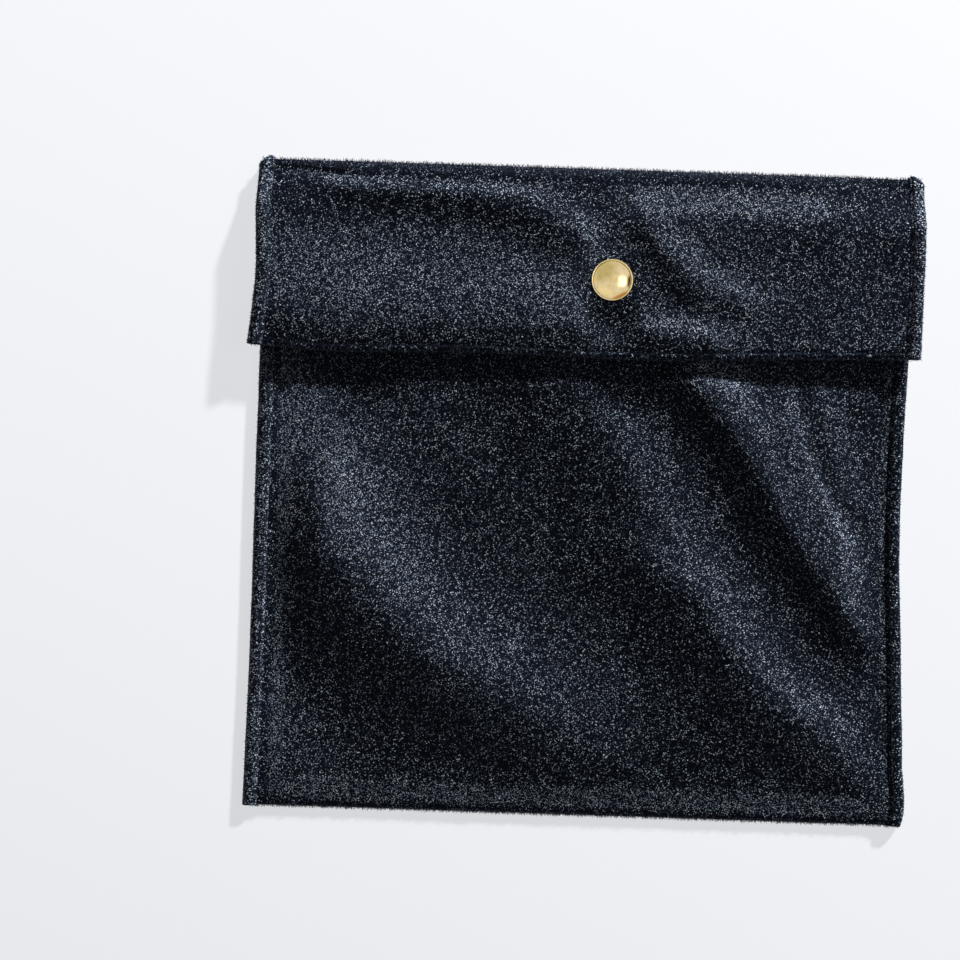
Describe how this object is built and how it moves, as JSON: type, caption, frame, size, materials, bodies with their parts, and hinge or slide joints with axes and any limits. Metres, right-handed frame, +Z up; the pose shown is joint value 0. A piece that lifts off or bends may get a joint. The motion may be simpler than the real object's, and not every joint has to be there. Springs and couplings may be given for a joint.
{
  "type": "envelope pouch",
  "caption": "Flat square envelope pouch of plush pile cloth with taped side edges and a fold-over flap held by a domed brass press snap.",
  "frame": {"origin": "on the ground under the middle of the closed pouch, which lies on its back", "axes": "+X along the top fold, +Y from the bottom fold to the top fold, +Z up, out of the front"},
  "size_m": [0.244, 0.24, 0.0182],
  "materials": {
    "pile_cloth": "dense short pile, dark navy, soft sheen",
    "edge_tape": "same cloth turned round the side edges",
    "sewing_thread": "matt polyester thread",
    "snap_brass": "pale polished brass",
    "spring_steel": "bright drawn wire"
  },
  "bodies": {
    "pocket": {"back_panel": "pile_cloth", "front_panel": "pile_cloth", "opening_hem": "pile_cloth", "side_binding_left": "edge_tape", "side_binding_right": "edge_tape", "side_stitching_left": "sewing_thread", "side_stitching_right": "sewing_thread", "opening_stitching": "sewing_thread", "snap_stud": "snap_brass", "stud_rivet": "snap_brass"},
    "flap": {"flap_panel": "pile_cloth", "flap_hem": "pile_cloth", "flap_binding_left": "edge_tape", "flap_binding_right": "edge_tape", "flap_stitching_left": "sewing_thread", "flap_stitching_right": "sewing_thread", "flap_hem_stitching": "sewing_thread", "snap_cap": "snap_brass", "snap_socket": "snap_brass", "socket_spring": "spring_steel"}
  },
  "joints": [
    {"name": "flap_fold", "type": "hinge", "parent": "pocket", "child": "flap", "pos_m": [0, 0.1203, 0.0042], "axis": [-1, 0, 0], "range_deg": [0, 165]}
  ]
}
